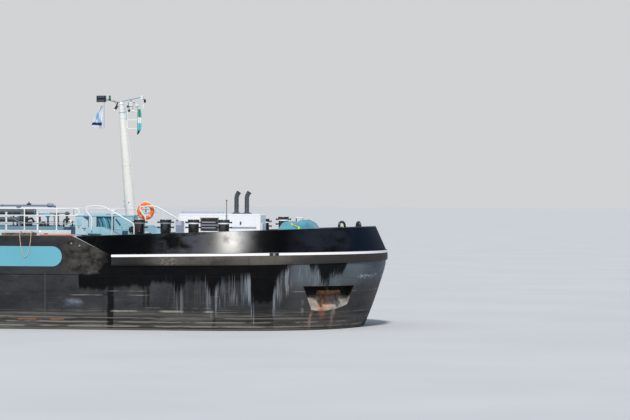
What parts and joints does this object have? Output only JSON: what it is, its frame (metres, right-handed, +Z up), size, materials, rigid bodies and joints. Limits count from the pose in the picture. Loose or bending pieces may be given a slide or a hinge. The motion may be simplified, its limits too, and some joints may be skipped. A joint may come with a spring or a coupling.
{
  "type": "river motor tank barge, 1:10 scale model",
  "caption": "Inland motor tank barge at 1:10 scale: long black hull, spoon bow, folding masts, deck crane, lifting wheelhouse, propeller and twin rudders.",
  "frame": {"origin": "middle of the flat bottom, at its lowest level", "axes": "+X forward to the bow, +Y to port, +Z up"},
  "size_m": [11, 1.14, 1.052],
  "materials": {
    "black_paint": "gloss",
    "white_paint": "satin",
    "light_blue_paint": "satin",
    "deck_grey_paint": "matte",
    "navy_paint": "satin",
    "rusted_steel": "rough",
    "pipe_steel": "matte",
    "teal_cover": "matte",
    "orange_foam": "matte",
    "bronze": "satin",
    "rope": "rough",
    "lilac_paint": "satin",
    "flag_cloth": "matte"
  },
  "bodies": {
    "barge": {"hull_bow": "black_paint", "hull_midbody": "black_paint", "hull_stern": "black_paint", "bow_bulwark": "black_paint", "bow_fender_band": "black_paint", "anchor_starboard": "rusted_steel", "anchor_port": "rusted_steel", "trunk_deck": "light_blue_paint", "guard_rail_starboard": "white_paint", "guard_rail_port": "white_paint", "cargo_pipes": "pipe_steel", "catwalk": "deck_grey_paint", "crane_pedestal": "white_paint", "forward_locker": "light_blue_paint", "stairs_starboard": "light_blue_paint", "stairs_port": "light_blue_paint", "stair_rail_starboard": "white_paint", "stair_rail_port": "white_paint", "thruster_house": "white_paint", "thruster_louvre": "deck_grey_paint", "exhaust_pipes": "navy_paint", "windlass_bed": "pipe_steel", "windlass_cover": "teal_cover", "fore_bollards_starboard": "black_paint", "fore_bollards_port": "black_paint", "fairlead_starboard": "black_paint", "fairlead_port": "black_paint", "mast_bracket": "white_paint", "lifebuoy": "orange_foam", "rope_hank": "rope", "rope_loop": "rope", "accommodation": "white_paint", "funnels": "light_blue_paint", "stern_mast_foot": "white_paint", "stern_bulwark": "black_paint", "aft_bollards_starboard": "black_paint", "aft_bollards_port": "black_paint", "propeller_nozzle": "black_paint"},
    "bow_mast": {"bow_mast": "white_paint", "mast_crosstree": "deck_grey_paint", "pennant": "flag_cloth", "house_flag": "flag_cloth"},
    "crane_column": {"crane_column": "white_paint"},
    "crane_boom": {"crane_boom": "lilac_paint"},
    "hatch_lid_1": {"tank_hatch_lid_1": "white_paint"},
    "hatch_lid_2": {"tank_hatch_lid_2": "white_paint"},
    "hatch_lid_3": {"tank_hatch_lid_3": "white_paint"},
    "hatch_lid_4": {"tank_hatch_lid_4": "white_paint"},
    "wheelhouse": {"wheelhouse": "white_paint", "wheelhouse_roof": "white_paint", "lift_column": "deck_grey_paint"},
    "wheelhouse_door": {"wheelhouse_door": "white_paint"},
    "radar_scanner": {"radar_scanner": "white_paint"},
    "house_door_starboard": {"accommodation_door_starboard": "navy_paint"},
    "house_door_port": {"accommodation_door_port": "navy_paint"},
    "stern_mast": {"stern_mast": "white_paint"},
    "propeller": {"propeller": "bronze"},
    "rudder_starboard": {"rudder_starboard": "black_paint"},
    "rudder_port": {"rudder_port": "black_paint"}
  },
  "joints": [
    {"name": "bow_mast_fold", "type": "hinge", "parent": "barge", "child": "bow_mast", "pos_m": [4.452, 0, 0.53], "axis": [0, -1, 0], "range_deg": [0, 67]},
    {"name": "crane_slew", "type": "hinge", "parent": "barge", "child": "crane_column", "pos_m": [3.36, 0.26, 0.562], "axis": [0, 0, 1], "range_deg": [-110, 110]},
    {"name": "crane_luff", "type": "hinge", "parent": "crane_column", "child": "crane_boom", "pos_m": [3.36, 0.26, 0.6075], "axis": [0, -1, 0], "range_deg": [0, 60]},
    {"name": "wheelhouse_lift", "type": "slide", "parent": "barge", "child": "wheelhouse", "axis": [0, 0, 1], "range_m": [0, 0.36]},
    {"name": "wheelhouse_door_hinge", "type": "hinge", "parent": "wheelhouse", "child": "wheelhouse_door", "pos_m": [-4.228, 0.215, 0.63], "axis": [0, 0, 1], "range_deg": [0, 95]},
    {"name": "radar_spin", "type": "hinge", "parent": "wheelhouse", "child": "radar_scanner", "pos_m": [-3.96, 0, 0.83], "axis": [0, 0, 1], "continuous": true},
    {"name": "house_door_starboard_hinge", "type": "hinge", "parent": "barge", "child": "house_door_starboard", "pos_m": [-4.443, -0.435, 0.59], "axis": [0, 0, 1], "range_deg": [0, 100]},
    {"name": "house_door_port_hinge", "type": "hinge", "parent": "barge", "child": "house_door_port", "pos_m": [-4.443, 0.435, 0.59], "axis": [0, 0, -1], "range_deg": [0, 100]},
    {"name": "stern_mast_fold", "type": "hinge", "parent": "barge", "child": "stern_mast", "pos_m": [-4.76, 0, 0.734], "axis": [0, 1, 0], "range_deg": [0, 88]},
    {"name": "propeller_spin", "type": "hinge", "parent": "barge", "child": "propeller", "pos_m": [-5.025, 0, 0.096], "axis": [1, 0, 0], "continuous": true},
    {"name": "rudder_turn", "type": "hinge", "parent": "barge", "child": "rudder_starboard", "pos_m": [-5.225, -0.06, 0.1], "axis": [0, 0, 1], "range_deg": [-65, 65]},
    {"name": "rudder_port_turn", "type": "hinge", "parent": "barge", "child": "rudder_port", "pos_m": [-5.225, 0.06, 0.1], "axis": [0, 0, 1], "range_deg": [-65, 65]},
    {"name": "tank_hatch_lid_1_hinge", "type": "hinge", "parent": "barge", "child": "hatch_lid_1", "pos_m": [1.9, -0.361, 0.578], "axis": [1, 0, 0], "range_deg": [0, 110]},
    {"name": "tank_hatch_lid_2_hinge", "type": "hinge", "parent": "barge", "child": "hatch_lid_2", "pos_m": [1.9, 0.361, 0.578], "axis": [-1, 0, 0], "range_deg": [0, 110]},
    {"name": "tank_hatch_lid_3_hinge", "type": "hinge", "parent": "barge", "child": "hatch_lid_3", "pos_m": [-1.9, -0.361, 0.578], "axis": [1, 0, 0], "range_deg": [0, 110]},
    {"name": "tank_hatch_lid_4_hinge", "type": "hinge", "parent": "barge", "child": "hatch_lid_4", "pos_m": [-1.9, 0.361, 0.578], "axis": [-1, 0, 0], "range_deg": [0, 110]}
  ],
  "couplings": [
    {"joint": "rudder_port_turn", "follows": "rudder_turn", "ratio": 1}
  ]
}
